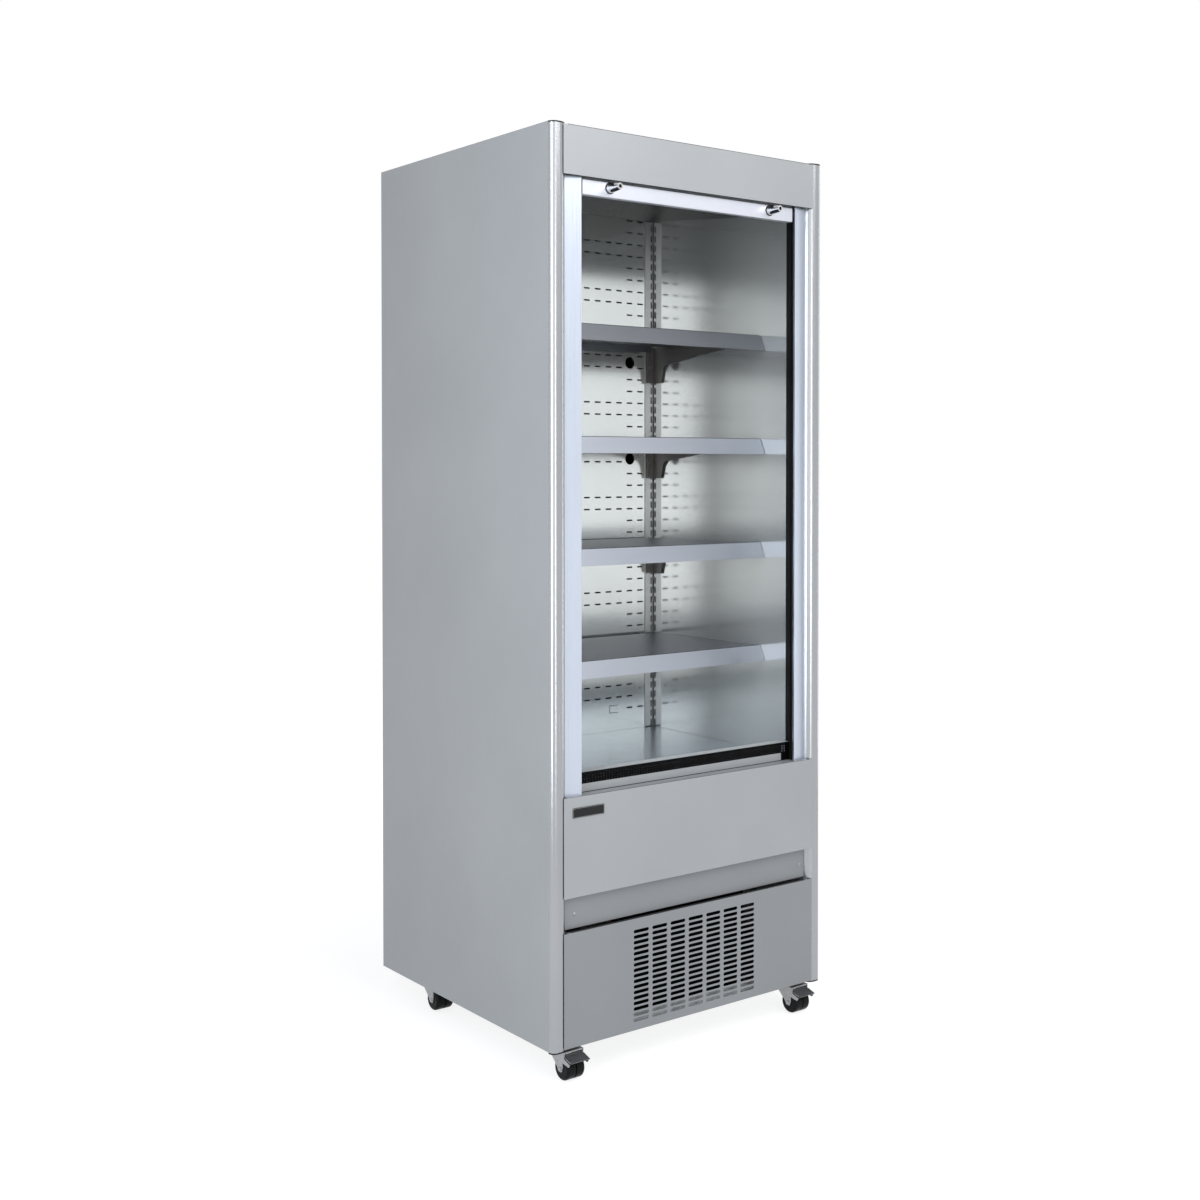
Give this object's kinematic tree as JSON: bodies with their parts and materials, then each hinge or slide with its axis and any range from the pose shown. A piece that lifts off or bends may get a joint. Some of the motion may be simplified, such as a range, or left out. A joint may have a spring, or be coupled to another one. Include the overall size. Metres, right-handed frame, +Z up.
{
  "type": "open multideck display fridge",
  "caption": "Open-front multideck display fridge on castors, with polished liner, hung shelves and a pull-down night blind.",
  "frame": {"origin": "on the floor under the middle of the cabinet's bounding box", "axes": "+Z up, -Y towards the open front, +X to the right seen from the front"},
  "size_m": [0.78, 0.74, 2],
  "materials": {
    "grey_panel": "satin grey coated steel sheet",
    "galvanised": "galvanised steel sheet",
    "foam": "rigid polyurethane foam, sealed in",
    "bright_aluminium": "bright anodised extrusion",
    "black_plastic": "black plastic",
    "zinc": "bright zinc-plated steel",
    "stainless": "polished stainless sheet",
    "black_metal": "black coated steel",
    "shelf_steel": "grey satin steel",
    "coil_fins": "finned coil",
    "copper_pipe": "copper pipe",
    "chrome": "bright turned metal",
    "blind_aluminium": "satin anodised aluminium",
    "blind_fabric": "reflective blind film",
    "roller_tube": "roller tube with the film wound on it",
    "wheel_black": "black twin wheels"
  },
  "bodies": {
    "cabinet": {"side_panels": "grey_panel", "rear_panel": "galvanised", "power_inlet": "black_plastic", "roof_panel": "galvanised", "foam_insulation": "foam", "corner_posts": "bright_aluminium", "post_end_caps": "black_plastic", "land_trims": "bright_aluminium", "guide_channels": "black_plastic", "fascia": "grey_panel", "lower_front_panel": "grey_panel", "badge": "black_plastic", "screw_strip": "grey_panel", "cross_rail": "galvanised", "strip_screws": "zinc", "grille_panel": "grey_panel", "side_liners": "stainless", "rear_and_roof_liner": "stainless", "ceiling_panel": "black_metal", "air_outlet_honeycomb": "black_plastic", "shelf_uprights": "stainless", "back_panel": "stainless", "tub_liner": "stainless", "return_grille": "black_metal", "deck_tray": "stainless", "shelf_1": "shelf_steel", "shelf_2": "shelf_steel", "shelf_3": "shelf_steel", "shelf_4": "shelf_steel", "shelf_brackets": "shelf_steel", "roller_brackets": "galvanised", "base_frame": "galvanised", "machine_roof": "galvanised", "condenser_coil": "coil_fins", "condenser_shroud": "galvanised", "evaporator_fan_plate": "stainless", "evaporator_coil": "coil_fins", "compressor": "black_metal", "drip_tray": "galvanised", "drain_pipe": "black_plastic", "controller_box": "black_plastic", "refrigerant_pipes": "copper_pipe", "castor_plates": "zinc"},
    "blind": {"blind_rail": "blind_aluminium", "stop_pegs": "chrome", "blind_film": "blind_fabric"},
    "blind_roll": {"blind_roller": "roller_tube"},
    "condenser_rotor": {"condenser_fan": "black_metal"},
    "evaporator_rotor_left": {"evaporator_fan_left": "black_metal"},
    "evaporator_rotor_right": {"evaporator_fan_right": "black_metal"},
    "castor_front_left": {"castor_fork_front_left": "zinc"},
    "wheels_front_left": {"castor_wheels_front_left": "wheel_black"},
    "brake_front_left": {"brake_pedal_front_left": "black_plastic"},
    "castor_front_right": {"castor_fork_front_right": "zinc"},
    "wheels_front_right": {"castor_wheels_front_right": "wheel_black"},
    "brake_front_right": {"brake_pedal_front_right": "black_plastic"},
    "castor_rear_left": {"castor_fork_rear_left": "zinc"},
    "wheels_rear_left": {"castor_wheels_rear_left": "wheel_black"},
    "castor_rear_right": {"castor_fork_rear_right": "zinc"},
    "wheels_rear_right": {"castor_wheels_rear_right": "wheel_black"}
  },
  "joints": [
    {"name": "blind_slide", "type": "slide", "parent": "cabinet", "child": "blind", "axis": [0, 0, -1], "range_m": [0, 1.2575], "stiffness_N_per_m": 2, "springref_m": -4, "deforming": ["blind_film"]},
    {"name": "blind_roll_turn", "type": "hinge", "parent": "cabinet", "child": "blind_roll", "pos_m": [0, -0.3028, 1.946], "axis": [1, 0, 0], "range_deg": [0, 3860]},
    {"name": "condenser_fan_turn", "type": "hinge", "parent": "cabinet", "child": "condenser_rotor", "pos_m": [0, -0.2249, 0.2021], "axis": [0, 1, 0], "continuous": true},
    {"name": "evaporator_fan_left_turn", "type": "hinge", "parent": "cabinet", "child": "evaporator_rotor_left", "pos_m": [-0.15, -0.218, 0.51275], "axis": [0, 1, 0], "continuous": true},
    {"name": "evaporator_fan_right_turn", "type": "hinge", "parent": "cabinet", "child": "evaporator_rotor_right", "pos_m": [0.15, -0.218, 0.51275], "axis": [0, 1, 0], "continuous": true},
    {"name": "swivel_front_left", "type": "hinge", "parent": "cabinet", "child": "castor_front_left", "pos_m": [-0.33, -0.299, 0.061], "axis": [0, 0, 1], "continuous": true},
    {"name": "roll_front_left", "type": "hinge", "parent": "castor_front_left", "child": "wheels_front_left", "pos_m": [-0.33, -0.324, 0.025], "axis": [1, 0, 0], "continuous": true},
    {"name": "brake_front_left_lift", "type": "hinge", "parent": "castor_front_left", "child": "brake_front_left", "pos_m": [-0.33, -0.334, 0.054], "axis": [-1, 0, 0], "range_deg": [0, 12]},
    {"name": "swivel_front_right", "type": "hinge", "parent": "cabinet", "child": "castor_front_right", "pos_m": [0.33, -0.299, 0.061], "axis": [0, 0, 1], "continuous": true},
    {"name": "roll_front_right", "type": "hinge", "parent": "castor_front_right", "child": "wheels_front_right", "pos_m": [0.33, -0.324, 0.025], "axis": [1, 0, 0], "continuous": true},
    {"name": "brake_front_right_lift", "type": "hinge", "parent": "castor_front_right", "child": "brake_front_right", "pos_m": [0.33, -0.334, 0.054], "axis": [-1, 0, 0], "range_deg": [0, 12]},
    {"name": "swivel_rear_left", "type": "hinge", "parent": "cabinet", "child": "castor_rear_left", "pos_m": [-0.33, 0.226, 0.061], "axis": [0, 0, 1], "continuous": true},
    {"name": "roll_rear_left", "type": "hinge", "parent": "castor_rear_left", "child": "wheels_rear_left", "pos_m": [-0.33, 0.201, 0.025], "axis": [1, 0, 0], "continuous": true},
    {"name": "swivel_rear_right", "type": "hinge", "parent": "cabinet", "child": "castor_rear_right", "pos_m": [0.33, 0.226, 0.061], "axis": [0, 0, 1], "continuous": true},
    {"name": "roll_rear_right", "type": "hinge", "parent": "castor_rear_right", "child": "wheels_rear_right", "pos_m": [0.33, 0.201, 0.025], "axis": [1, 0, 0], "continuous": true}
  ],
  "couplings": [
    {"joint": "blind_roll_turn", "follows": "blind_slide", "rad_per_m": 53.476}
  ]
}
